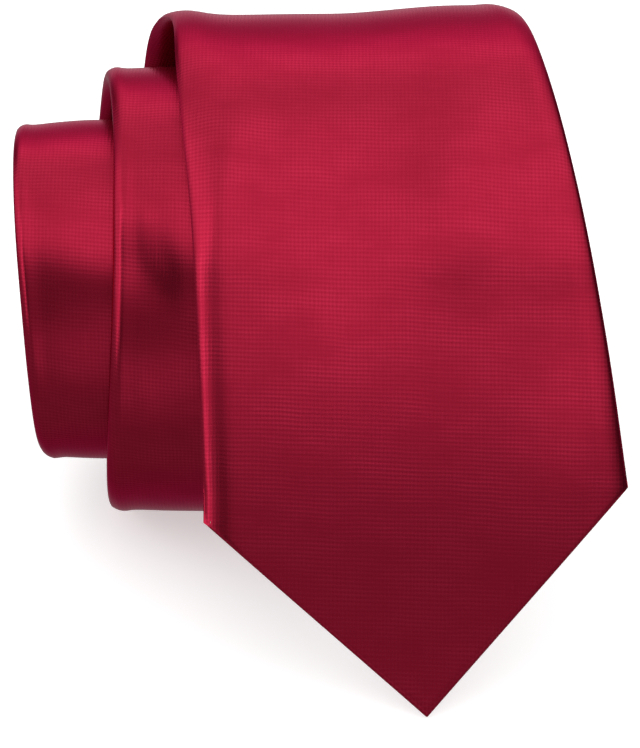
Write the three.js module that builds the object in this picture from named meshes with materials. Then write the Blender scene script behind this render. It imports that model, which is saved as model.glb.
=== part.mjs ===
// A men's satin necktie, rolled up from the narrow end and drawn out to one side, so that the turns
// step back from the pointed wide blade in front. The tie is laid out flat first (x across it, s along
// it from the point of the wide blade, t into it from its good side) and then wound onto the roll.
// Millimetres, +Z up, the blade faces -Y.
import * as THREE from "three";

// the roll
const ROLL_RADIUS = 55.2; // good side of the tie where the blade leaves the roll
const LOOSE_PITCH = 10.6; // radius lost in each of the loose outer turns
const TIGHT_PITCH = 3.3; // and in each turn of the tight core
const LOOSE_ANGLE = 810; // degrees of loose winding
const LOOSE_STEP = 11.25;
const TIGHT_STEP = 22.5;
const AXIS_HEIGHT = 47.6;
const BLADE_LEAN = 29; // the hanging blade's slope from upright, degrees
const BLADE_HANG = 84.15; // free length of the blade, from its point to the roll
const ROLL_X = 1.37; // puts the middle of the whole tie over the origin
const ROLL_Y = 18.94;

// the tie
const LENGTH = 1450;
const SATIN = 0.35;
const CLEAR = 0.3; // between neighbouring plies
const SIDE_WALL = 0.5;
const SEAM = 1.0; // opening of the centre back seam
const THICK_OUTER = 3.3;
const THICK_CORE = 2.4;
const THIN_FROM = 600;
const THIN_TO = 720;
const POINT_X = 20.1; // the wide blade's point
const LEFT_SHOULDER = 36.6;
const RIGHT_SHOULDER = 43.3;
const TAIL_X = -33.5;
const TAIL_POINT = 19; // height of the narrow end's point
const BLUNT = 1.0; // both points are this blunt
const HEM = 14;
const FOLD_CLOSED = 86; // where the back folds of the wide end meet
const TAIL_FOLD_CLOSED = 1392;

// pieces along the tie
const HINGE_VERTEX = 2; // the blade lifts from the roll at this corner of the winding
const SPLIT = 0.4;
const WIDE_SEAM = 760; // blade to neck
const NARROW_SEAM = 1120; // neck to tail
const SEAM_GAP = 1.2;
const TIPPING = 0.25;
const TIPPING_END = 88;
const TAIL_TIPPING_START = 1375;
const KEEPER = { s: 238, tall: 12, wide: 54, foot: 7, rise: 3.2, ply: 0.8 };
const LABEL = { s: 272, tall: 24, wide: 42, ply: 0.4 };
const CARE_TAG = { s: 299, tall: 20, wide: 18, ply: 0.4 };
const THREAD = 0.4;
const TACK = { wide: 9, tall: 1.6, ply: 0.5 };
const TAIL_TACK = { wide: 6, tall: 1.4, ply: 0.4 };

// edges of the tie: distance along it, left edge, right edge
const EDGES = [
  [RIGHT_SHOULDER, -21.9, 57.8], [69, -23, 54.2], [95, -24.4, 49.8], [115, -26.3, 46.3],
  [132, -27.8, 43.3], [155, -29.4, 39.2], [180, -34.5, 33], [205, -37.3, 27.2], [250, -40, 21],
  [300, -41.8, 16.2], [340, -42, 14], [400, -39.7, 13.8], [430, -40.1, 11.5], [460, -42.8, 7.2],
  [490, -45.6, 3], [550, -51.5, -6], [590, -55.4, -12], [630, -57.6, -17], [680, -60.4, -22.4],
  [720, -59.6, -22.8], [760, -56.4, -21.2], [800, -54, -19.8], [900, -53.2, -20.6], [1100, -53, -21],
  [1300, -52.8, -16.9], [LENGTH - TAIL_POINT, -52.5, -14.5],
];

const rad = THREE.MathUtils.degToRad;
const { lerp, smoothstep } = THREE.MathUtils;

// --- the winding: corners of a many-sided spiral in the YZ plane, with their inward mitres
function winding() {
  const at = (angle) => {
    const loose = Math.min(angle, LOOSE_ANGLE);
    const r = ROLL_RADIUS - (LOOSE_PITCH * loose + TIGHT_PITCH * (angle - loose)) / 360;
    const z = r * Math.sin(rad(BLADE_LEAN + angle)) + AXIS_HEIGHT;
    return new THREE.Vector2(ROLL_Y - r * Math.cos(rad(BLADE_LEAN + angle)), Math.max(z, 0));
  };
  const down = new THREE.Vector2(-Math.sin(rad(BLADE_LEAN)), -Math.cos(rad(BLADE_LEAN)));
  const corners = [at(0).addScaledVector(down, BLADE_HANG), at(0)];
  const s = [0, BLADE_HANG];
  for (let angle = 0; s[s.length - 1] < LENGTH; ) {
    angle += angle < LOOSE_ANGLE ? LOOSE_STEP : TIGHT_STEP;
    corners.push(at(angle));
    s.push(s[s.length - 1] + corners[corners.length - 1].distanceTo(corners[corners.length - 2]));
  }
  const inward = corners.slice(1).map((c, i) => {
    const run = c.clone().sub(corners[i]).normalize();
    return new THREE.Vector2(run.y, -run.x);
  });
  const mitre = corners.map((c, i) => {
    const a = inward[Math.max(i - 1, 0)];
    const b = inward[Math.min(i, inward.length - 1)];
    return a.clone().add(b).divideScalar(1 + a.dot(b));
  });
  return { corners, s, mitre };
}
const WOUND = winding();

// a point of the flat tie, wound onto the roll
function wound(x, s, t) {
  let i = WOUND.s.findIndex((end) => end > s) - 1;
  if (i < 0) i = WOUND.s.length - 2;
  const f = (s - WOUND.s[i]) / (WOUND.s[i + 1] - WOUND.s[i]);
  const [a, b] = [i, i + 1].map((k) => WOUND.corners[k].clone().addScaledVector(WOUND.mitre[k], t));
  const p = a.lerp(b, f);
  return new THREE.Vector3(x + ROLL_X, p.x, p.y);
}

// --- the flat tie
function edge(s, column) {
  const last = EDGES.length - 1;
  const past = EDGES.findIndex((row) => row[0] > s);
  const i = past < 0 ? last - 1 : Math.max(past - 1, 0);
  const slope = (k) => {
    const [a, b] = [EDGES[Math.max(k - 1, 0)], EDGES[Math.min(k + 1, last)]];
    return (b[column] - a[column]) / (b[0] - a[0]);
  };
  const [a, b] = [EDGES[i], EDGES[i + 1]];
  const run = b[0] - a[0];
  const f = (s - a[0]) / run;
  const h = f * f * (3 - 2 * f);
  return lerp(a[column], b[column], h)
    + run * f * (1 - f) * ((1 - f) * slope(i) - f * slope(i + 1));
}
function left(s) {
  if (s < LEFT_SHOULDER) return lerp(POINT_X, -21.8, s / LEFT_SHOULDER);
  if (s < RIGHT_SHOULDER) return -21.8;
  const tail = Math.max(s - (LENGTH - TAIL_POINT), 0) / TAIL_POINT;
  return lerp(edge(Math.min(s, LENGTH - TAIL_POINT), 1), TAIL_X, tail);
}
function right(s) {
  if (s < RIGHT_SHOULDER) return lerp(POINT_X, 57.8, s / RIGHT_SHOULDER);
  const tail = Math.max(s - (LENGTH - TAIL_POINT), 0) / TAIL_POINT;
  return lerp(edge(Math.min(s, LENGTH - TAIL_POINT), 2), TAIL_X, tail);
}
const middle = (s) => (left(s) + right(s)) / 2;
const thick = (s) => lerp(THICK_OUTER, THICK_CORE, smoothstep(s, THIN_FROM, THIN_TO));

// --- solids along the tie
function rows(from, to, extra = []) {
  const between = [...WOUND.s, LEFT_SHOULDER, RIGHT_SHOULDER, LENGTH - TAIL_POINT, ...extra];
  const inside = between.filter((s) => s > from + 0.2 && s < to - 0.2).sort((a, b) => a - b);
  return [from, ...inside.filter((s, i) => i === 0 || s - inside[i - 1] > 0.05), to];
}

// one closed solid through the same outline at every row; outline(s) gives [x, t] corners
function along(stations, outline) {
  const loops = stations.map((s) => outline(s).map(([x, t]) => wound(x, s, t)));
  const n = loops[0].length;
  const flat = outline(stations[0]).map(([x, t]) => new THREE.Vector2(x, t));
  const cap = THREE.ShapeUtils.triangulateShape(flat, []);
  const index = [];
  for (let i = 0; i + 1 < loops.length; i++) {
    for (let k = 0; k < n; k++) {
      const [a, b, c, d] = [i * n + k, i * n + ((k + 1) % n), (i + 1) * n + k, (i + 1) * n + ((k + 1) % n)];
      index.push(a, b, d, a, d, c);
    }
  }
  const end = (loops.length - 1) * n;
  for (const [a, b, c] of cap) index.push(c, b, a);
  const tail = THREE.ShapeUtils.triangulateShape(
    outline(stations[stations.length - 1]).map(([x, t]) => new THREE.Vector2(x, t)), []);
  for (const [a, b, c] of tail) index.push(end + a, end + b, end + c);
  return solid(loops.flat(), index);
}

function solid(points, index) {
  let volume = 0;
  for (let i = 0; i < index.length; i += 3) {
    const [a, b, c] = [0, 1, 2].map((k) => points[index[i + k]]);
    volume += a.dot(b.clone().cross(c));
  }
  if (volume < 0) index.reverse();
  const geometry = new THREE.BufferGeometry().setFromPoints(points);
  geometry.setIndex(index);
  geometry.computeVertexNormals();
  return geometry;
}

// half the width left open between the two back flaps
function opening(s) {
  const wideEnd = s < LENGTH / 2;
  const shut = wideEnd
    ? smoothstep(s, RIGHT_SHOULDER, FOLD_CLOSED)
    : 1 - smoothstep(s, TAIL_FOLD_CLOSED, LENGTH - TAIL_POINT);
  const half = (right(s) - left(s)) / 2;
  return Math.max((half - Math.min(wideEnd ? HEM : HEM / 2, half)) * (1 - shut), SEAM / 2);
}
// the satin: front, two folded edges and two back flaps that leave the centre seam open
function folded(s) {
  const [l, r, m, t] = [left(s), right(s), middle(s), thick(s)];
  const open = opening(s);
  const wall = Math.min(SIDE_WALL, ((r - l) / 2 - open) / 2);
  return [
    [m - open, t], [l, t], [l, 0], [r, 0], [r, t], [m + open, t], [m + open, t - SATIN],
    [r - wall, t - SATIN], [r - wall, SATIN], [l + wall, SATIN],
    [l + wall, t - SATIN], [m - open, t - SATIN],
  ];
}
const box = (x0, x1, t0, t1) => [[x0, t1], [x0, t0], [x1, t0], [x1, t1]];

// the wool ply inside; it is thinner where the tipping lies over it
function wool(s) {
  const inset = SIDE_WALL + CLEAR;
  const lined = s < TIPPING_END + 1.2 || s > TAIL_TIPPING_START - 1.2;
  const lining = lined ? TIPPING + CLEAR : 0;
  return box(left(s) + inset, right(s) - inset, SATIN + CLEAR, thick(s) - SATIN - CLEAR - lining);
}
function tipping(inset) {
  return (s) => {
    const back = thick(s) - SATIN - CLEAR;
    return box(left(s) + inset, right(s) - inset, back - TIPPING, back);
  };
}
// a flat piece on the back of the tie, centred on the seam
function patch({ s, tall, wide, ply }, lift = 0, shift = 0) {
  return along(rows(s - tall / 2, s + tall / 2), (v) => {
    const base = thick(s) + CLEAR + lift;
    return box(middle(s) + shift - wide / 2, middle(s) + shift + wide / 2, base, base + ply);
  });
}
// the keeper: a band sewn down at both ends that stands off the back between them
function keeper() {
  const { s, tall, wide, foot, rise, ply } = KEEPER;
  const profile = (v) => {
    const [m, base] = [middle(s), thick(s) + CLEAR];
    const under = [[-wide / 2, 0], [-wide / 2 + foot, 0], [-wide / 2 + foot + 5, rise],
      [wide / 2 - foot - 5, rise], [wide / 2 - foot, 0], [wide / 2, 0]];
    return [...under.map(([x, t]) => [m + x, base + t]),
      ...under.reverse().map(([x, t]) => [m + x, base + t + ply])];
  };
  return along(rows(s - tall / 2, s + tall / 2), profile);
}
// the thread that closes the centre back seam
function slipStitch() {
  return along(rows(HINGE_S + SPLIT, TAIL_FOLD_CLOSED), (s) =>
    box(middle(s) - THREAD / 2, middle(s) + THREAD / 2, thick(s) - SATIN, thick(s) - 0.05));
}
function joinThread(s) {
  return along([s - 0.3, s + 0.3], () => box(left(s) + 2, right(s) - 2, 0.03, SATIN - 0.02));
}
// the line of stitches that holds the tipping, just inside the hem's edge
function tippingStitch() {
  const leg = [RIGHT_SHOULDER + 8, RIGHT_SHOULDER, LEFT_SHOULDER, 20];
  const line = [...leg.map((s) => [-1, s]), [0, 17.5], ...leg.reverse().map((s) => [1, s])];
  const base = THICK_OUTER - SATIN;
  const stations = line.map(([side, s]) => [middle(s) + side * (opening(s) - 1.2), s]);
  const n = stations.length;
  const across = stations.map((p, i) => {
    const [a, b] = [stations[Math.max(i - 1, 0)], stations[Math.min(i + 1, n - 1)]];
    const run = Math.hypot(b[0] - a[0], b[1] - a[1]);
    return [-(b[1] - a[1]) / run, (b[0] - a[0]) / run];
  });
  const points = [];
  for (const [side, t] of [[-0.3, base], [0.3, base], [0.3, base + 0.3], [-0.3, base + 0.3]])
    stations.forEach(([x, s], i) => points.push(wound(x + side * across[i][0], s + side * across[i][1], t)));
  const index = [];
  for (let k = 0; k < 4; k++)
    for (let i = 0; i + 1 < n; i++) {
      const [a, b] = [k * n + i, ((k + 1) % 4) * n + i];
      index.push(a, a + 1, b + 1, a, b + 1, b);
    }
  index.push(0, n, 2 * n, 0, 2 * n, 3 * n);
  index.push(n - 1, 3 * n - 1, 2 * n - 1, n - 1, 4 * n - 1, 3 * n - 1);
  return solid(points, index);
}

const HINGE_S = WOUND.s[HINGE_VERTEX];
const tie = new THREE.Group();
function add(name, geometry, colour) {
  const mesh = new THREE.Mesh(geometry, new THREE.MeshStandardMaterial({ color: colour, roughness: 0.5 }));
  mesh.name = name;
  tie.add(mesh);
}

const RED = 0xa6283f;
const [WOOL, LINING, LINE, WOVEN, WHITE] = [0xd9d2c4, 0x8a2034, 0x8c1c30, 0x33252a, 0xeeeeea];
const end = LENGTH - BLUNT;
const bend = [55, 65, 75, FOLD_CLOSED];
add("blade_shell_front", along(rows(BLUNT, HINGE_S - SPLIT / 2, [10, HEM, 20, ...bend]), folded), RED);
const [step, tailStep] = [TIPPING_END, TAIL_TIPPING_START - 2.4].map((s) => [s + 1, s + 1.4]);
add("interlining_front", along(rows(BLUNT + 2, HINGE_S - SPLIT / 2, step), wool), WOOL);
add("wide_tipping", along(rows(9, TIPPING_END), tipping(3)), LINING);
add("tipping_stitch", tippingStitch(), LINE);
add("wide_bar_tack", patch({ ...TACK, s: FOLD_CLOSED + 1 }), LINE);

const shellEnds = [WIDE_SEAM, NARROW_SEAM].map((s) => [s - SEAM_GAP / 2, s + SEAM_GAP / 2]);
add("blade_shell_roll", along(rows(HINGE_S + SPLIT / 2, shellEnds[0][0]), folded), RED);
add("neck_shell", along(rows(shellEnds[0][1], shellEnds[1][0]), folded), RED);
add("tail_shell", along(rows(shellEnds[1][1], end, [1400, 1410, 1420]), folded), RED);
add("interlining_roll", along(rows(HINGE_S + SPLIT / 2, end - 2, tailStep), wool), WOOL);
add("narrow_tipping", along(rows(TAIL_TIPPING_START, end - 5), tipping(1.8)), LINING);
add("narrow_bar_tack", patch({ ...TAIL_TACK, s: TAIL_FOLD_CLOSED + 2 }), LINE);
add("slip_stitch", slipStitch(), LINE);
add("join_thread_wide", joinThread(WIDE_SEAM), LINE);
add("join_thread_narrow", joinThread(NARROW_SEAM), LINE);
add("keeper_loop", keeper(), RED);
for (const [name, side] of [["keeper_tack_left", -1], ["keeper_tack_right", 1]]) {
  const at = side * (KEEPER.wide / 2 - KEEPER.foot / 2);
  add(name, patch({ s: KEEPER.s, tall: 8, wide: 1, ply: 0.4 }, KEEPER.ply + CLEAR, at), LINE);
}
add("label", patch(LABEL), WOVEN);
for (const [name, side] of [["label_stitch_left", -1], ["label_stitch_right", 1]]) {
  const at = side * (LABEL.wide / 2 - 1.5);
  add(name, patch({ s: LABEL.s, tall: LABEL.tall - 4, wide: 0.6, ply: 0.3 }, LABEL.ply + CLEAR, at), LINE);
}
add("care_tag", patch(CARE_TAG), WHITE);

export default tie;
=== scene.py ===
# A men's satin necktie rolled up from its narrow end, for a plain white studio shot.
# The tie is drawn flat first: x across it, s along it from the point of the wide blade, t into it from
# its good side, all in millimetres. wound() then lays that on the same roll as the CAD model.
import math

import bmesh
import bpy
import numpy as np
from mathutils import Matrix


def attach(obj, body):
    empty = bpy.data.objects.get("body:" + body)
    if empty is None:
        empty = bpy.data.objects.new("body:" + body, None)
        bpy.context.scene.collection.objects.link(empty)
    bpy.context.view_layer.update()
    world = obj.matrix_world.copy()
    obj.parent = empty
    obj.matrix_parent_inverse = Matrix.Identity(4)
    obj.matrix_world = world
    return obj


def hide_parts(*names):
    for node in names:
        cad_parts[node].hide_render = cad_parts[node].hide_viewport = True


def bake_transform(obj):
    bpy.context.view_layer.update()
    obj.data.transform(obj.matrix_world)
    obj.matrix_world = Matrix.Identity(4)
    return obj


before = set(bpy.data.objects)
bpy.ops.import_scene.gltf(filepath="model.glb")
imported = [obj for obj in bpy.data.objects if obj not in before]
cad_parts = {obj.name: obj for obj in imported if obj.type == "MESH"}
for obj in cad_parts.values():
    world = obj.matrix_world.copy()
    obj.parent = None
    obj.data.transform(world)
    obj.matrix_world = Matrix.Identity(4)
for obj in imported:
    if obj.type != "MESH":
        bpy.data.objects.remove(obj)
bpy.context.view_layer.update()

# --- the roll, as in the CAD model
ROLL_RADIUS, LOOSE_PITCH, TIGHT_PITCH = 55.2, 10.6, 3.3
LOOSE_ANGLE, LOOSE_STEP, TIGHT_STEP = 810.0, 11.25, 22.5
AXIS_HEIGHT, BLADE_LEAN, BLADE_HANG = 47.6, 29.0, 84.15
ROLL_X, ROLL_Y = 1.37, 18.94
LENGTH = 1450.0
SATIN = 0.35
THICK_OUTER, THICK_CORE, THIN_FROM, THIN_TO = 3.3, 2.4, 600.0, 720.0
POINT_X, LEFT_SHOULDER, RIGHT_SHOULDER = 20.1, 36.6, 43.3
LEFT_SHOULDER_X, RIGHT_SHOULDER_X = -21.8, 57.8
TAIL_X, TAIL_POINT, HEM = -33.5, 19.0, 14.0
TAIL_SHOULDER = LENGTH - TAIL_POINT
FOLD_CLOSED, TAIL_FOLD_CLOSED = 86.0, 1392.0
WIDE_SEAM, NARROW_SEAM = 760.0, 1120.0
WOOL_START, WOOL_STOP = 3, LENGTH - 3
TIPPING_START, TIPPING_STOP = 6, 96
TAIL_TIPPING_START, TAIL_TIPPING_STOP = 1372, LENGTH - 4
BLADE_WOOL_INSET, ROLL_WOOL_INSET, TIPPING_INSET, TAIL_TIPPING_INSET = 1.3, 1.1, 2.2, 1.6
ROOM_FOR_TIPPING = 0.35
KEEPER_S, LABEL_S, TAG_S = 238.0, 272.0, 299.0
SPLIT_S = 214.0  # the blade's cloth is parted here, out of sight behind the roll, above the fold's reach

EDGES = np.array([
    (RIGHT_SHOULDER, -21.9, 57.8), (69, -23, 54.2), (95, -24.4, 49.8), (115, -26.3, 46.3),
    (132, -27.8, 43.3), (155, -29.4, 39.2), (180, -34.5, 33), (205, -37.3, 27.2), (250, -40, 21),
    (300, -41.8, 16.2), (340, -42, 14), (400, -39.7, 13.8), (430, -40.1, 11.5), (460, -42.8, 7.2),
    (490, -45.6, 3), (550, -51.5, -6), (590, -55.4, -12), (630, -57.6, -17), (680, -60.4, -22.4),
    (720, -59.6, -22.8), (760, -56.4, -21.2), (800, -54, -19.8), (900, -53.2, -20.6), (1100, -53, -21),
    (1300, -52.8, -16.9), (TAIL_SHOULDER, -52.5, -14.5)], float)


def smoothstep(x, a, b):
    f = np.clip((x - a) / (b - a), 0, 1)
    return f * f * (3 - 2 * f)


def bell(x, middle, half):
    return np.exp(-(((x - middle) / half) ** 2))


def curve(x, px, py):
    """A smooth curve through the points (px, py)."""
    px, py = np.asarray(px, float), np.asarray(py, float)
    slope = np.gradient(py, px)
    i = np.clip(np.searchsorted(px, x, side="right") - 1, 0, len(px) - 2)
    run = px[i + 1] - px[i]
    f = np.clip((x - px[i]) / run, 0, 1)
    h = f * f * (3 - 2 * f)
    bend = run * f * (1 - f) * ((1 - f) * slope[i] - f * slope[i + 1])
    return py[i] * (1 - h) + py[i + 1] * h + bend


# --- the winding
def spiral(angle):
    loose = np.minimum(angle, LOOSE_ANGLE)
    r = ROLL_RADIUS - (LOOSE_PITCH * loose + TIGHT_PITCH * (angle - loose)) / 360
    a = np.radians(BLADE_LEAN + angle)
    z = r * np.sin(a) + AXIS_HEIGHT
    return ROLL_Y - r * np.cos(a), 0.5 * (z + np.sqrt(z * z + 0.04))


def winding():
    angles, lengths, angle, s = [0.0], [BLADE_HANG], 0.0, BLADE_HANG
    y, z = spiral(0.0)
    while s < LENGTH:
        angle += LOOSE_STEP if angle < LOOSE_ANGLE else TIGHT_STEP
        y2, z2 = spiral(angle)
        s += math.hypot(y2 - y, z2 - z)
        y, z = y2, z2
        angles.append(angle)
        lengths.append(s)
    grid = np.arange(-5.0, LENGTH + 5.0, 0.25)
    angle = np.interp(grid, lengths, angles)
    y, z = spiral(angle)
    hang = np.minimum(grid - BLADE_HANG, 0)
    lean = math.radians(BLADE_LEAN)
    y = y + hang * math.sin(lean)
    z = z + hang * math.cos(lean)
    kernel = np.hanning(33)
    kernel /= kernel.sum()
    pad = len(kernel) // 2
    padded = (np.pad(v, pad, mode="reflect", reflect_type="odd") for v in (y, z))
    y, z = (np.convolve(v, kernel, "valid") for v in padded)
    ty, tz = np.gradient(y), np.gradient(z)
    n = np.hypot(ty, tz)
    return grid, y, z, tz / n, -ty / n


GRID, PATH_Y, PATH_Z, IN_Y, IN_Z = winding()


# Soft bends of the hanging blade: the height, then the middle and half-width across the tie, and along it.
BLADE_BENDS = ((1.5, 27, 8, 98, 14), (-1.1, 4, 11, 92, 16), (-1.0, 46, 8, 74, 20), (1.1, -17, 5, 108, 16))
# A dent across the front of each loose turn: its depth, its place along the tie and how far that slants, the
# stretch across the tie in which it slants, and its half-width before and after that place.
TURN_DENTS = ((2.3, 397, 12, -36, -24, 30, 12), (1.3, 638, 7, -55, -40, 20, 11))
TOP, TOP_HALF = 168, 42  # the stretch of the tie that goes over the top and starts down the back of the roll
BULGE, BULGE_END = 3.2, 108  # the hanging blade bows out by this much, from its point to here
LEFT_CROWN, LEFT_CROWN_WIDE = 1.7, 18  # how far the cloth falls away towards each folded edge
RIGHT_CROWN, RIGHT_CROWN_WIDE = 1.0, 16


def body_edges(s):
    """The left and right edges of the tie, as if neither end had a point."""
    body = np.clip(s, RIGHT_SHOULDER, TAIL_SHOULDER)
    return [curve(body, EDGES[:, 0], EDGES[:, side]) for side in (1, 2)]


def ripples(x, s):
    """Soft bends and hollows that the cloth takes as it hangs and winds, in mm outward."""
    up = 0.0
    for height, middle_x, half_x, middle_s, half_s in BLADE_BENDS:
        up = up + height * bell(x, middle_x, half_x) * bell(s, middle_s, half_s)
    for depth, place, slant, x_from, x_to, before, after in TURN_DENTS:
        middle = place - slant * smoothstep(x, x_from, x_to)
        up = up - depth * bell(s, middle, np.where(s > middle, after, before))
    return up


def facing_camera(s):
    """1 where the cloth's good side faces the camera, falling to 0 where it faces up, down or back."""
    lean = math.radians(BLADE_LEAN)
    forward = np.interp(s, GRID, IN_Y) * math.cos(lean) - np.interp(s, GRID, IN_Z) * math.sin(lean)
    return smoothstep(forward, 0.35, 0.8)


def ease(x, s):
    """How far the cloth stands off the roll, in mm: it curls up where it bends over the top."""
    over = bell(s, TOP, TOP_HALF)
    up = 2.0 * smoothstep(x, 2, 30) * over
    up += 1.0 * bell(x, -30, 7) * over
    up -= 0.9 * smoothstep(-x, 44, 62) * bell(s, 696, 32)
    up += BULGE * np.sin(np.pi * np.clip(s / BULGE_END, 0, 1)) ** 1.3
    left, right = body_edges(s)
    crown = (1 - smoothstep(s, 620, 690)) * facing_camera(s)
    up -= LEFT_CROWN * crown * np.clip(1 - (x - left) / LEFT_CROWN_WIDE, 0, 1.2) ** 2
    up -= RIGHT_CROWN * crown * np.clip(1 - (right - x) / RIGHT_CROWN_WIDE, 0, 1.2) ** 2
    return up + ripples(x, s)


def wound(x, s, t):
    x, s, t = np.broadcast_arrays(*(np.asarray(v, float) for v in (x, s, t)))
    t = t - ease(x, s)
    y = np.interp(s, GRID, PATH_Y) + t * np.interp(s, GRID, IN_Y)
    z = np.interp(s, GRID, PATH_Z) + t * np.interp(s, GRID, IN_Z)
    return np.stack([x + ROLL_X, y, z], -1) * 0.001


# --- the flat tie
def leg(s, x):
    """A leg of the wide point, run on past its shoulder."""
    shoulder = LEFT_SHOULDER if x < POINT_X else RIGHT_SHOULDER
    return POINT_X + (x - POINT_X) * s / shoulder


def edges(s):
    """The left and right edges of the finished tie."""
    left, right = body_edges(s)
    left = np.where(s < LEFT_SHOULDER, leg(s, LEFT_SHOULDER_X), left)
    right = np.where(s < RIGHT_SHOULDER, leg(s, RIGHT_SHOULDER_X), right)
    f = np.clip((s - TAIL_SHOULDER) / TAIL_POINT, 0, 1)
    return left + (TAIL_X - left) * f, right + (TAIL_X - right) * f


def opening(s):
    """Half of the width left open between the two flaps of the back."""
    left, right = edges(s)
    half = (right - left) / 2
    wide = s < LENGTH / 2
    shut_at_tail = 1 - smoothstep(s, TAIL_FOLD_CLOSED, TAIL_SHOULDER)
    shut = np.where(wide, smoothstep(s, RIGHT_SHOULDER, FOLD_CLOSED), shut_at_tail)
    hem = np.where(wide, HEM, HEM / 2)
    return np.maximum((half - np.minimum(hem, half)) * (1 - shut), np.minimum(0.25, half / 4))


def thick(s):
    return THICK_OUTER + (THICK_CORE - THICK_OUTER) * smoothstep(s, THIN_FROM, THIN_TO)


# depth of the good side and of the back at a distance from a rolled edge, and from a pressed point edge
ROLLED = [0, 0.3, 0.8, 1.5, 2.3, 3.1, 4, 5, 6.2, 8, 11, 16, 24, 34]
ROLLED_FRONT = [1.65, 1.15, 0.82, 0.54, 0.31, 0.15, 0.08, 0.13, 0.25, 0.31, 0.27, 0.15, 0.05, 0]
ROLLED_BACK = [1.65, 2.2, 2.6, 2.9, 3.1, 3.22, 3.3, 3.3, 3.3, 3.3, 3.3, 3.3, 3.3, 3.3]
PRESSED = [0, 0.15, 0.4, 0.8, 1.3, 2.2, 5, 9, 14, 24]
PRESSED_FRONT = [0.8, 0.4, 0.17, 0.05, 0.01, 0, 0, 0, 0, 0]
PRESSED_BACK = [0.8, 1.15, 1.4, 1.55, 1.65, 1.75, 2.1, 2.6, 3.1, 3.3]
FAR, COS_45 = 99, 0.707


def surfaces(x, s):
    """Depths of the good side and of the back of the cloth at x, s."""
    left, right = edges(s)
    scale = 1 - 0.45 * smoothstep(s, 180, 400) - 0.15 * smoothstep(s, 500, 700)
    t = thick(s)
    squeeze = t / THICK_OUTER
    left_fold, right_fold = body_edges(s)
    left_fold = np.where(s < RIGHT_SHOULDER, LEFT_SHOULDER_X, left_fold)
    right_fold = np.where(s < RIGHT_SHOULDER, RIGHT_SHOULDER_X, right_fold)
    front, back = np.zeros_like(x), np.zeros_like(x)
    for d, soft in ((x - left_fold, 1.4 - 0.4 * smoothstep(s, 180, 300)), (right_fold - x, 1.0)):
        d = np.maximum(d, 0) / (scale * soft)
        front += (squeeze * curve(d, ROLLED, ROLLED_FRONT)) ** 4
        back += (t - squeeze * curve(d, ROLLED, ROLLED_BACK)) ** 4
    for side in (LEFT_SHOULDER_X, RIGHT_SHOULDER_X):
        shoulder = LEFT_SHOULDER if side < POINT_X else RIGHT_SHOULDER
        run = abs(side - POINT_X) / shoulder
        wide = abs(x - leg(s, side)) / math.hypot(1, run)
        tail = np.where(side < POINT_X, x - left, right - x) * COS_45
        at_blade, at_tail = np.where(s > 60, FAR, wide), np.where(s < TAIL_SHOULDER - 8, FAR, tail)
        d = np.where(s < LENGTH / 2, at_blade, at_tail)
        front += (squeeze * curve(np.maximum(d, 0), PRESSED, PRESSED_FRONT)) ** 4
        back += (t - squeeze * curve(np.maximum(d, 0), PRESSED, PRESSED_BACK)) ** 4
    front, back = front**0.25, t - back**0.25
    gap = np.maximum(back - front, 0)
    middle = (front + back) / 2
    edge = np.minimum(x - left, right - x)
    gap = np.where(edge < 1e-6, 0, gap)
    return middle - gap / 2, middle + gap / 2


def spaced(width, near, count):
    """Distances across a width: close together at the edges, even between."""
    near = np.asarray(near, float) * min(1, width / (2.6 * near[-1]))
    inner = np.linspace(near[-1], width - near[-1], count + 2)[1:-1]
    return np.concatenate([near, inner, width - near[::-1]])


def spaced_flap(width, near, count):
    """Distances from a folded edge: close together there, even further in."""
    near = np.asarray(near, float) * min(1, width / (1.3 * near[-1]))
    return np.concatenate([near, np.linspace(near[-1], width, count + 1)[1:]])


NEAR = [0, 0.12, 0.35, 0.7, 1.2, 1.8, 2.5, 3.3, 4.2, 5.2, 6.5, 8.5]


def shell_row(s):
    """One closed outline of the folded satin at s: (x, t, u) with u the distance round the cloth."""
    left, right = (float(v) for v in edges(np.array([s], float)))
    half_open = float(opening(np.array([s], float))[0])
    width, middle = right - left, (left + right) / 2
    flap = width / 2 - half_open
    rows = []

    def put(x, side, ply, u):
        x = np.asarray(x, float)
        front, back = surfaces(x, np.full_like(x, s))
        if ply:
            gap = np.maximum(back - front - 2 * SATIN, 0.04)
            mid = (front + back) / 2
            front, back = mid - gap / 2, mid + gap / 2
        rows.append(np.stack([x, front if side == "front" else back, u], -1))

    fl = spaced_flap(flap, NEAR[:10], 4)
    put(left + fl[:0:-1], "back", False, left - fl[:0:-1])
    across = left + spaced(width, NEAR, 22)
    put(across, "front", False, across)
    put(right - fl[1:], "back", False, right + fl[1:])
    inset = min(0.5, width * 0.3)
    inner_flap = spaced_flap(flap - inset, [0, 0.5, 1.5, 3], 4)
    put(right - inset - inner_flap[::-1], "back", True, right + inner_flap[::-1])
    inner = left + inset + spaced(width - 2 * inset, [0, 0.6, 1.6, 3, 6], 8)
    put(inner[::-1], "front", True, inner[::-1])
    put(left + inset + inner_flap, "back", True, left - inner_flap)
    return np.concatenate(rows)


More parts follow.
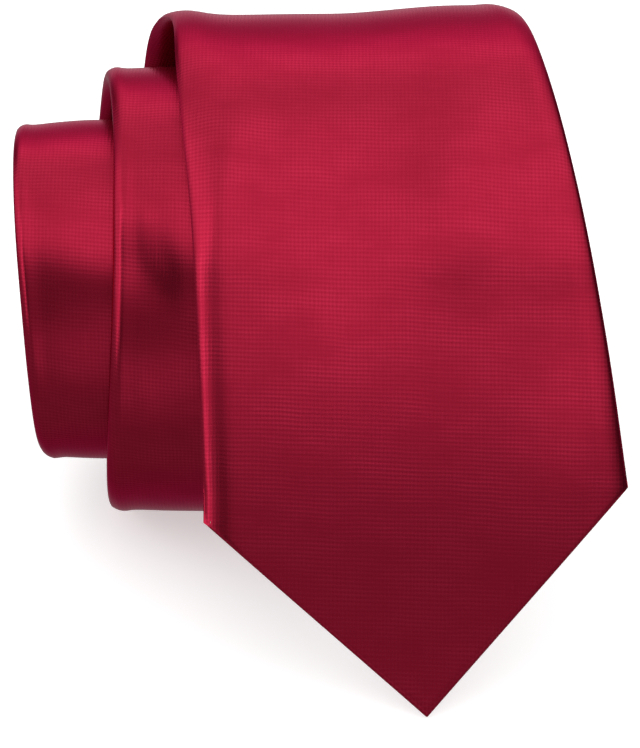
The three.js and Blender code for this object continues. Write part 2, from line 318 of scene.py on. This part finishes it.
def mesh_object(name, points, faces, uvs=None, smooth=60):
    mesh = bpy.data.meshes.new(name)
    mesh.from_pydata([tuple(p) for p in points], [], faces)
    if uvs is not None:
        layer = mesh.uv_layers.new(name="cloth")
        loops = np.empty(len(mesh.loops), int)
        mesh.loops.foreach_get("vertex_index", loops)
        layer.data.foreach_set("uv", np.asarray(uvs, float)[loops].ravel() * 0.001)
    mesh.validate()
    bm = bmesh.new()
    bm.from_mesh(mesh)
    bmesh.ops.recalc_face_normals(bm, faces=bm.faces)
    bm.to_mesh(mesh)
    bm.free()
    mesh.shade_smooth()
    if smooth:
        mesh.set_sharp_from_angle(angle=math.radians(smooth))
    obj = bpy.data.objects.new(name, mesh)
    bpy.context.scene.collection.objects.link(obj)
    return obj


def lofted(name, stations, row, slant=0.0, smooth=60):
    """A closed solid through row(s), which gives (x, t, u), at every station."""
    points, uvs = [], []
    for s in stations:
        r = row(s)
        points.append(wound(r[:, 0], s, r[:, 1]))
        uvs.append(np.stack([r[:, 2], s + slant * r[:, 2]], -1))
    n, m = len(points[0]), len(points)
    i, k = np.meshgrid(np.arange(m - 1), np.arange(n), indexing="ij")
    a, b = i * n + k, i * n + (k + 1) % n
    faces = np.stack([a, b, b + n, a + n], -1).reshape(-1, 4).tolist()
    faces += [list(range(n))[::-1], list(range((m - 1) * n, m * n))]
    return mesh_object(name, np.concatenate(points), faces, np.concatenate(uvs), smooth)


def stations(start, end, step, extra=()):
    count = max(int(round((end - start) / step)), 1)
    s = np.unique(np.concatenate([np.linspace(start, end, count + 1), np.asarray(extra, float)]))
    s = s[(s >= start) & (s <= end)]
    keep = [s[0]]
    for v in s[1:]:
        if v - keep[-1] > 0.25 * min(step, 1) or v in extra:
            keep.append(v)
    return keep


# --- materials
def material(name):
    m = bpy.data.materials.new(name)
    m.use_nodes = True
    tree = m.node_tree
    shader = tree.nodes["Principled BSDF"]
    return m, tree, shader


def node(tree, kind, **settings):
    n = tree.nodes.new(kind)
    for key, value in settings.items():
        if key in n.inputs:
            n.inputs[key].default_value = value
        else:
            setattr(n, key, value)
    return n


def math_node(tree, operation, a, b=None):
    n = node(tree, "ShaderNodeMath", operation=operation)
    for socket, value in zip(n.inputs, (a, b)):
        if value is None:
            continue
        if isinstance(value, (int, float)):
            socket.default_value = value
        else:
            tree.links.new(value, socket)
    return n.outputs[0]


def woven(name, dark, light, rib=0.85, thread=0.72, rib_strength=0.5, thread_strength=0.3, bump=0.5,
          roughness=0.4, metallic=0.0, sheen=0.0, tint=(1, 1, 1, 1)):
    """Cloth with ribs across it and threads along it, laid by the cloth's own UVs."""
    m, tree, shader = material(name)
    uv = node(tree, "ShaderNodeUVMap", uv_map="cloth")
    scaled = node(tree, "ShaderNodeVectorMath", operation="SCALE")
    scaled.inputs["Scale"].default_value = 1000
    tree.links.new(uv.outputs[0], scaled.inputs[0])
    mm = scaled.outputs[0]

    def noise(scale_x, scale_y, detail=2.0):
        stretch = node(tree, "ShaderNodeVectorMath", operation="MULTIPLY")
        stretch.inputs[1].default_value = (scale_x, scale_y, 1)
        tree.links.new(mm, stretch.inputs[0])
        n = node(tree, "ShaderNodeTexNoise", Scale=1.0, Detail=detail, Roughness=0.55)
        tree.links.new(stretch.outputs[0], n.inputs["Vector"])
        return n.outputs["Fac"]

    split = node(tree, "ShaderNodeSeparateXYZ")
    tree.links.new(mm, split.inputs[0])
    across, along = split.outputs[0], split.outputs[1]
    sway = math_node(tree, "MULTIPLY", noise(0.05, 0.04), 1.4)
    jitter = math_node(tree, "MULTIPLY", noise(0.9, 0.25), 0.5)

    def waves(distance, period, shift):
        turned = math_node(tree, "MULTIPLY", math_node(tree, "ADD", distance, shift), 2 * math.pi / period)
        wave = math_node(tree, "MULTIPLY_ADD", math_node(tree, "SINE", turned), 0.5)
        wave.node.inputs[2].default_value = 0.5
        return wave

    ribs = waves(along, rib, sway)
    threads = waves(across, thread, jitter)
    patches = noise(0.07, 0.12, 3.0)
    slubs = noise(0.16, 2.6, 2.0)
    strands = noise(3.2, 0.1, 2.0)
    gain = node(tree, "ShaderNodeMapRange")
    gain.inputs["From Min"].default_value, gain.inputs["From Max"].default_value = 0.35, 0.65
    gain.inputs["To Min"].default_value, gain.inputs["To Max"].default_value = 0.35, 1.0
    tree.links.new(patches, gain.inputs["Value"])

    def part(value, strength):
        return math_node(tree, "MULTIPLY", value, strength)

    rib_part = part(part(ribs, gain.outputs[0]), rib_strength)
    thread_part = part(part(threads, gain.outputs[0]), thread_strength)
    loose = math_node(tree, "ADD", part(slubs, 0.30), part(strands, 0.22))
    height = math_node(tree, "ADD", math_node(tree, "ADD", rib_part, thread_part), loose)

    ramp = node(tree, "ShaderNodeValToRGB")
    ramp.color_ramp.elements[0].position, ramp.color_ramp.elements[1].position = 0.15, 0.95
    ramp.color_ramp.elements[0].color = (*dark, 1)
    ramp.color_ramp.elements[1].color = (*light, 1)
    tree.links.new(height, ramp.inputs[0])
    tree.links.new(ramp.outputs[0], shader.inputs["Base Color"])
    bumped = node(tree, "ShaderNodeBump", Strength=bump, Distance=0.00006)
    tree.links.new(height, bumped.inputs["Height"])
    tree.links.new(bumped.outputs[0], shader.inputs["Normal"])
    rough = node(tree, "ShaderNodeMapRange")
    rough.inputs["To Min"].default_value = roughness + 0.05
    rough.inputs["To Max"].default_value = roughness - 0.04
    tree.links.new(height, rough.inputs["Value"])
    tree.links.new(rough.outputs[0], shader.inputs["Roughness"])
    shader.inputs["Metallic"].default_value = metallic
    shader.inputs["Specular IOR Level"].default_value = 0.5
    shader.inputs["Sheen Weight"].default_value = sheen
    shader.inputs["Sheen Roughness"].default_value = 0.4
    shader.inputs["Specular Tint"].default_value = tint
    return m


satin = woven("satin", (0.30, 0.008, 0.028), (0.42, 0.016, 0.048), rib_strength=0.42, thread_strength=0.32,
              bump=0.32, roughness=0.27, metallic=0.92, tint=(1.0, 0.4, 0.55, 1))
lining = woven("lining", (0.16, 0.008, 0.02), (0.26, 0.012, 0.035), rib=0.4, thread=0.4, rib_strength=0.4,
               thread_strength=0.4, roughness=0.55)
wool = woven("interlining wool", (0.55, 0.5, 0.42), (0.75, 0.7, 0.6), rib=1.2, thread=1.0, rib_strength=0.4,
             thread_strength=0.4, roughness=0.95, sheen=0.3)
label_cloth = woven("label weave", (0.02, 0.012, 0.016), (0.06, 0.04, 0.045), rib=0.35, thread=0.35,
                    rib_strength=0.5, thread_strength=0.4, roughness=0.6)
tape = woven("tag tape", (0.74, 0.74, 0.71), (0.86, 0.86, 0.83), rib=0.3, thread=0.3, rib_strength=0.4,
             thread_strength=0.4, roughness=0.7)


def thread_material():
    m, tree, shader = material("sewing thread")
    coord = node(tree, "ShaderNodeTexCoord")
    twist = node(tree, "ShaderNodeTexWave", Scale=900.0, Distortion=1.0)
    twist.bands_direction = "DIAGONAL"
    tree.links.new(coord.outputs["Object"], twist.inputs["Vector"])
    ramp = node(tree, "ShaderNodeValToRGB")
    ramp.color_ramp.elements[0].color = (0.14, 0.01, 0.02, 1)
    ramp.color_ramp.elements[1].color = (0.30, 0.02, 0.045, 1)
    tree.links.new(twist.outputs["Fac"], ramp.inputs[0])
    tree.links.new(ramp.outputs[0], shader.inputs["Base Color"])
    bumped = node(tree, "ShaderNodeBump", Strength=0.6, Distance=0.00008)
    tree.links.new(twist.outputs["Fac"], bumped.inputs["Height"])
    tree.links.new(bumped.outputs[0], shader.inputs["Normal"])
    shader.inputs["Roughness"].default_value = 0.55
    return m


thread = thread_material()


def finish_piece(obj, mat, body, nodes=()):
    obj.data.materials.append(mat)
    if nodes:
        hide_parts(*nodes)
    if body:
        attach(obj, body)
    return obj


# --- camera
LOOK = math.radians(BLADE_LEAN)
AIM_BELOW_HANG = 19.6  # the camera looks at the blade, this far in mm down from where it leaves the roll
CAMERA_DISTANCE = 0.78
aim = np.array([ROLL_X, ROLL_Y - ROLL_RADIUS * math.cos(LOOK) - AIM_BELOW_HANG * math.sin(LOOK),
                AXIS_HEIGHT + ROLL_RADIUS * math.sin(LOOK) - AIM_BELOW_HANG * math.cos(LOOK)]) * 0.001
camera_data = bpy.data.cameras.new("camera")
camera_data.lens = 200
camera_data.sensor_width = 36
camera = bpy.data.objects.new("camera", camera_data)
bpy.context.scene.collection.objects.link(camera)
camera.location = aim + CAMERA_DISTANCE * np.array([0, -math.cos(LOOK), math.sin(LOOK)])
camera.rotation_euler = (math.pi / 2 - LOOK, 0, 0)
bpy.context.scene.camera = camera

# --- the satin
SEAM_CLEAR = 0.15
blade_rows = stations(0.15, 100, 1.2, [0.4, 0.8, LEFT_SHOULDER, RIGHT_SHOULDER])
blade_rows += stations(101.5, SPLIT_S, 1.6)
blade = lofted("blade_satin", blade_rows, shell_row, slant=0.04)
turns = lofted("roll_satin", stations(SPLIT_S + 0.1, WIDE_SEAM - SEAM_CLEAR, 2.0), shell_row, slant=0.09)
neck_rows = stations(WIDE_SEAM + SEAM_CLEAR, NARROW_SEAM - SEAM_CLEAR, 2.5)
neck = lofted("neck_satin", neck_rows, shell_row, slant=0.02)
tail_rows = stations(NARROW_SEAM + SEAM_CLEAR, LENGTH - 0.2, 2.2, [TAIL_SHOULDER])
tail = lofted("tail_satin", tail_rows, shell_row)

finish_piece(blade, satin, None, ["blade_shell_front"])
finish_piece(turns, satin, "roll", ["blade_shell_roll"])
finish_piece(neck, satin, "roll", ["neck_shell"])
finish_piece(tail, satin, "roll", ["tail_shell"])


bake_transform(blade)


def bends(obj, mat, nodes=()):
    """A piece that crosses from the roll to the hanging blade: it joins no body and has its place baked into
    its mesh.
    """
    finish_piece(obj, mat, None, nodes)
    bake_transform(obj)
    return obj


# --- the plies inside: wool interlining and the tipping behind both points
def ply(name, rows, inset, lift, deep):
    """A ply inside the satin: lift mm in from its back, and deep mm thick. Without deep it fills the rest."""

    def row(s):
        left, right = (float(v) for v in edges(np.array([s], float)))
        gap = min(inset, (right - left) * 0.3)
        x = left + gap + spaced(right - left - 2 * gap, [0, 0.8, 2, 4], 9)
        front, back = surfaces(x, np.full_like(x, s))
        low = back - SATIN - lift
        high = front + SATIN + 0.1 if deep is None else low - deep
        high = np.minimum(high, low - 0.08)
        return np.concatenate([np.stack([x, high, x], -1), np.stack([x, low, x], -1)[::-1]])

    return lofted(name, rows, row, smooth=40)


shoulders = [LEFT_SHOULDER, RIGHT_SHOULDER]
wool_rows = stations(WOOL_START, SPLIT_S, 2.0, shoulders)
wool_blade = ply("wool_blade", wool_rows, BLADE_WOOL_INSET, ROOM_FOR_TIPPING, None)
wool_rows = stations(SPLIT_S + 0.1, WOOL_STOP, 3.0, [TAIL_SHOULDER])
wool_roll = ply("wool_roll", wool_rows, ROLL_WOOL_INSET, ROOM_FOR_TIPPING, None)
tipping_rows = stations(TIPPING_START, TIPPING_STOP, 2.0, shoulders)
tipping_wide = ply("tipping_wide", tipping_rows, TIPPING_INSET, 0.08, 0.16)
tipping_rows = stations(TAIL_TIPPING_START, TAIL_TIPPING_STOP, 2.0, [TAIL_SHOULDER])
tipping_narrow = ply("tipping_narrow", tipping_rows, TAIL_TIPPING_INSET, 0.08, 0.16)
bends(wool_blade, wool, ["interlining_front"])
finish_piece(wool_roll, wool, "roll", ["interlining_roll"])
bends(tipping_wide, lining, ["wide_tipping"])
finish_piece(tipping_narrow, lining, "roll", ["narrow_tipping"])


# --- stitches: short rounded lengths of thread, joined into one piece
def stitches(name, marks, radius, lift, good_side=False):
    """marks: (x0, s0, x1, s1) of each stitch. Each one dips into the cloth at both ends."""
    marks = np.asarray(marks, float)
    rings, sides = 6, 6
    f = np.linspace(0, 1, rings)[None, :, None]
    angle = np.linspace(0, 2 * np.pi, sides, endpoint=False)[None, None, :]
    x0, s0, x1, s1 = (marks[:, k, None, None] for k in range(4))
    run = np.hypot(x1 - x0, s1 - s0)
    dx, ds = (x1 - x0) / run, (s1 - s0) / run
    x, s = x0 + (x1 - x0) * f, s0 + (s1 - s0) * f
    front, back = surfaces(x, s)
    rise = radius * (1.6 * np.sin(np.pi * f) - 0.6)
    middle = front - lift - rise if good_side else back + lift + rise
    swell = radius * np.sqrt(np.maximum(1 - (2 * f - 1) ** 4, 0.04))
    side = swell * np.cos(angle)
    points = wound(x - ds * side, s + dx * side, middle + 0.8 * swell * np.sin(angle)).reshape(-1, 3)
    i, k = np.meshgrid(np.arange(rings - 1), np.arange(sides), indexing="ij")
    a, b = i * sides + k, i * sides + (k + 1) % sides
    tube = np.stack([a, b, b + sides, a + sides], -1).reshape(-1, 4)
    faces = []
    for first in range(0, len(points), rings * sides):
        last = first + (rings - 1) * sides
        faces += (tube + first).tolist()
        faces += [list(range(first, first + sides))[::-1], list(range(last, last + sides))]
    return mesh_object(name, points, faces, smooth=80)


def middle_at(s):
    left, right = edges(np.array([s], float))
    return float((left + right)[0] / 2)


def seam_marks(start, end, pitch):
    marks = []
    for s in np.arange(start, end, pitch):
        m = middle_at(s)
        marks.append((m - 0.35, s, m + 0.35, s + 0.45 * pitch))
    return marks


def tack_marks(s, wide, count, tall):
    places = middle_at(s) + np.linspace(-wide / 2, wide / 2, count)
    return [(x - 0.15, s - tall / 2, x + 0.15, s + tall / 2) for x in places]


def leg_marks():
    """Small stitches that hold the tipping, just inside the hem of the wide point."""
    first, last, pitch, stitch, inside = 18.5, 52, 2.6, 1.3, 0.9
    marks = []
    for side in (-1, 1):
        for s in np.arange(first, last, pitch):
            hem = [float(opening(np.array([v]))[0]) - inside for v in (s, s + stitch)]
            a, b = middle_at(s) + side * hem[0], middle_at(s + stitch) + side * hem[1]
            marks.append((a, s, b, s + stitch))
    return marks


seam_blade = stitches("seam_stitches_blade", seam_marks(97, SPLIT_S - 6, 7), 0.2, 0.0)
seam_roll = stitches("seam_stitches_roll", seam_marks(SPLIT_S + 2, TAIL_FOLD_CLOSED - 4, 7), 0.16, 0.0)
bends(seam_blade, thread)
finish_piece(seam_roll, thread, "roll", ["slip_stitch"])
tack_wide = stitches("bar_tack_wide", tack_marks(88, 9, 17, 2.0), 0.28, 0.12)
bends(tack_wide, thread, ["wide_bar_tack"])
tack_narrow = stitches("bar_tack_narrow", tack_marks(1394, 6, 13, 1.5), 0.22, 0.1)
finish_piece(tack_narrow, thread, "roll", ["narrow_bar_tack"])
tipping_thread = stitches("tipping_stitches", leg_marks(), 0.16, -SATIN + 0.05)
finish_piece(tipping_thread, thread, "front_blade", ["tipping_stitch"])
for name, s, cad in (("join_stitches_wide", WIDE_SEAM, "join_thread_wide"),
                     ("join_stitches_narrow", NARROW_SEAM, "join_thread_narrow")):
    left, right = (float(v[0]) for v in edges(np.array([s])))
    marks = [(x, s, x + 1.2, s) for x in np.arange(left + 2, right - 3, 1.7)]
    finish_piece(stitches(name, marks, 0.12, 0.0, True), thread, "roll", [cad])


# --- what is sewn to the back: keeper loop, label and care tag
def band(name, s, tall, wide, ply_mm, rise, slope, mat, node_name, hemmed=0.0):
    """A strip across the back of the tie. It stands off by rise between its sewn ends."""
    m = middle_at(s)

    def row(v):
        x = spaced(wide, [0, 0.15, 0.4, 0.9], 26) - wide / 2
        edge = np.minimum(x + wide / 2, wide / 2 - x)
        lifted = rise * smoothstep(edge, slope[0], slope[1]) if rise else 0 * x
        rim = min(v - (s - tall / 2), s + tall / 2 - v)
        round_rim = 0.35 + 0.65 * min(1, (max(rim, 0) / 0.6)) ** 0.5
        soft = ply_mm * round_rim * np.sqrt(np.clip(edge / 0.5, 0.12, 1))
        soft = soft * (1 + 0.45 * (edge < hemmed)) if hemmed else soft
        base = surfaces(m + x, np.full_like(x, v))[1] + 0.12 + lifted + (ply_mm - soft) * 0.3
        return np.concatenate([np.stack([m + x, base, x], -1), np.stack([m + x, base + soft, x], -1)[::-1]])

    obj = lofted(name, stations(s - tall / 2, s + tall / 2, 0.8), row, smooth=50)
    return finish_piece(obj, mat, "roll", [node_name])


keeper = band("keeper_band", KEEPER_S, 12, 54, 0.9, 3.0, (6, 13), satin, "keeper_loop")
label = band("label_patch", LABEL_S, 24, 42, 0.42, 0, None, label_cloth, "label", hemmed=2.2)
tag = band("care_tape", TAG_S, 20, 18, 0.4, 0, None, tape, "care_tag")


def column_marks(s, tall, x, count):
    m = middle_at(s)
    step = tall / count
    starts = [s - tall / 2 + (i + 0.15) * step for i in range(count)]
    ends = [s - tall / 2 + (i + 0.75) * step for i in range(count)]
    return [(m + x, a, m + x, b) for a, b in zip(starts, ends)]


TACK_OUT, TACK_HALF = 23.5, 3.6  # the keeper's tacks, out from the middle, and half of their height
for side, word in ((-1, "left"), (1, "right")):
    at = middle_at(KEEPER_S) + side * TACK_OUT
    heights = np.linspace(KEEPER_S - TACK_HALF, KEEPER_S + TACK_HALF, 15)
    tack = [(at - 0.6, v, at + 0.6, v + 0.2) for v in heights]
    keeper_stitches = stitches("keeper_stitches_" + word, tack, 0.2, 1.15)
    finish_piece(keeper_stitches, thread, "roll", ["keeper_tack_" + word])
    column = column_marks(LABEL_S, 21, side * 19.6, 8)
    label_stitches = stitches("label_stitches_" + word, column, 0.17, 0.72)
    finish_piece(label_stitches, thread, "roll", ["label_stitch_" + word])

# --- the cloth's widths as cut, worked out from the tie's outline; nothing further is done with them
def folded_round(s):
    """The width of the satin opened out flat: the front and the two flaps of the back."""
    left, right = edges(s)
    return 2 * (right - left) - 2 * opening(s)


def single(inset):
    """The width of a single ply that stops short of both folds."""

    def across(s):
        left, right = edges(s)
        return np.maximum(right - left - 2 * inset, 0)

    return across


def declare_cut(start, end, across):
    s = np.linspace(start, end, 2001)
    width = across(s)


declare_cut(0, SPLIT_S, folded_round)
declare_cut(SPLIT_S, WIDE_SEAM, folded_round)
declare_cut(WIDE_SEAM, NARROW_SEAM, folded_round)
declare_cut(NARROW_SEAM, LENGTH, folded_round)
declare_cut(WOOL_START, SPLIT_S, single(BLADE_WOOL_INSET))
declare_cut(SPLIT_S, WOOL_STOP, single(ROLL_WOOL_INSET))
declare_cut(TIPPING_START, TIPPING_STOP, single(TIPPING_INSET))
declare_cut(TAIL_TIPPING_START, TAIL_TIPPING_STOP, single(TAIL_TIPPING_INSET))

# --- floor, world and lights
floor_mesh = bpy.data.meshes.new("floor")
floor_mesh.from_pydata([(-6, -6, 0), (6, -6, 0), (6, 6, 0), (-6, 6, 0)], [], [(0, 1, 2, 3)])
floor = bpy.data.objects.new("floor", floor_mesh)
bpy.context.scene.collection.objects.link(floor)
floor.location.z = -0.0002
floor_material, tree, shader = material("floor")
shader.inputs["Base Color"].default_value = (0.9, 0.9, 0.9, 1)
shader.inputs["Emission Color"].default_value = (1, 1, 1, 1)
shader.inputs["Emission Strength"].default_value = 0.5
shader.inputs["Roughness"].default_value = 0.9
shader.inputs["Specular IOR Level"].default_value = 0.1
floor_mesh.materials.append(floor_material)
floor.visible_diffuse = False
floor.visible_glossy = False


def softbox(name, centre, target, size, energy):
    """An area light at centre that faces target, with the length of its size upright."""
    data = bpy.data.lights.new(name, "AREA")
    data.shape = "RECTANGLE"
    data.size, data.size_y = size
    data.energy = energy
    obj = bpy.data.objects.new(name, data)
    bpy.context.scene.collection.objects.link(obj)
    obj.location = centre
    back = np.array(centre, float) - np.array(target, float)
    back /= np.linalg.norm(back)
    side = np.cross((0, 0, 1), back)
    side /= np.linalg.norm(side)
    up = np.cross(back, side)
    rows = [[side[k], up[k], back[k], centre[k]] for k in range(3)]
    obj.matrix_world = Matrix([*rows, [0, 0, 0, 1]])
    return obj


MIDDLE = (0.0, 0.0, 0.06)


def from_angle(azimuth, elevation, distance):
    """A place seen from the tie's middle: azimuth 0 is towards the camera, 90 to its right."""
    a, e = math.radians(azimuth), math.radians(elevation)
    x, y, z = MIDDLE
    out = distance * math.cos(e)
    return x + out * math.sin(a), y - out * math.cos(a), z + distance * math.sin(e)


softbox("left strip", from_angle(-60, 18, 0.8), MIDDLE, (0.2, 0.8), 0.52)

# The room: bright above, with a soft window on each side, a wall behind and a pale floor below.
OVERHEAD, RIGHT_WINDOW, LEFT_WINDOW = 1.08, 0.30, 1.15
BACK_WALL, FLOOR_BOUNCE = 0.52, 0.33
SEEN_BY_CAMERA = 0.95  # the plain background of the picture, apart from the light that the room gives
world = bpy.data.worlds.new("studio")
bpy.context.scene.world = world
world.use_nodes = True
wt = world.node_tree
background = wt.nodes["Background"]
direction = node(wt, "ShaderNodeTexCoord").outputs["Generated"]


def towards(vector, low, high, to_low=0.0, to_high=1.0):
    """Goes smoothly from to_low to to_high as the direction turns towards the vector."""
    dot = node(wt, "ShaderNodeVectorMath", operation="DOT_PRODUCT")
    dot.inputs[1].default_value = vector
    wt.links.new(direction, dot.inputs[0])
    ramp = node(wt, "ShaderNodeMapRange", interpolation_type="SMOOTHSTEP")
    for key, value in (("From Min", low), ("From Max", high), ("To Min", to_low), ("To Max", to_high)):
        ramp.inputs[key].default_value = value
    wt.links.new(dot.outputs["Value"], ramp.inputs["Value"])
    return ramp.outputs[0]


right_window = math_node(wt, "MULTIPLY", towards((0.853, -0.492, 0.174), 0, 0.2, 0, RIGHT_WINDOW),
                         towards((-0.6, -0.35, 0.7), -0.25, 0.2))
left_window = math_node(wt, "MULTIPLY", towards((-1, 0, 0), 0.6, 0.9, 0, LEFT_WINDOW),
                        towards((0, 0, 1), -0.1, 0.1))
back_wall = towards((0, 0.94, 0.342), 0.75, 0.95, 0, BACK_WALL)
floor_bounce = towards((0, 0, -1), -0.05, 0.1, 0, FLOOR_BOUNCE)
light = towards((0, 0, 1), 0.29, 0.74, 0.02, OVERHEAD)
for source in (right_window, left_window, back_wall, floor_bounce):
    light = math_node(wt, "ADD", light, source)
seen = node(wt, "ShaderNodeLightPath").outputs["Is Camera Ray"]
shown = math_node(wt, "MULTIPLY", seen, SEEN_BY_CAMERA)
rest = math_node(wt, "MULTIPLY", math_node(wt, "SUBTRACT", 1.0, seen), light)
wt.links.new(math_node(wt, "ADD", shown, rest), background.inputs["Strength"])
background.inputs["Color"].default_value = (1, 1, 1, 1)
bpy.context.scene.view_settings.view_transform = "Standard"
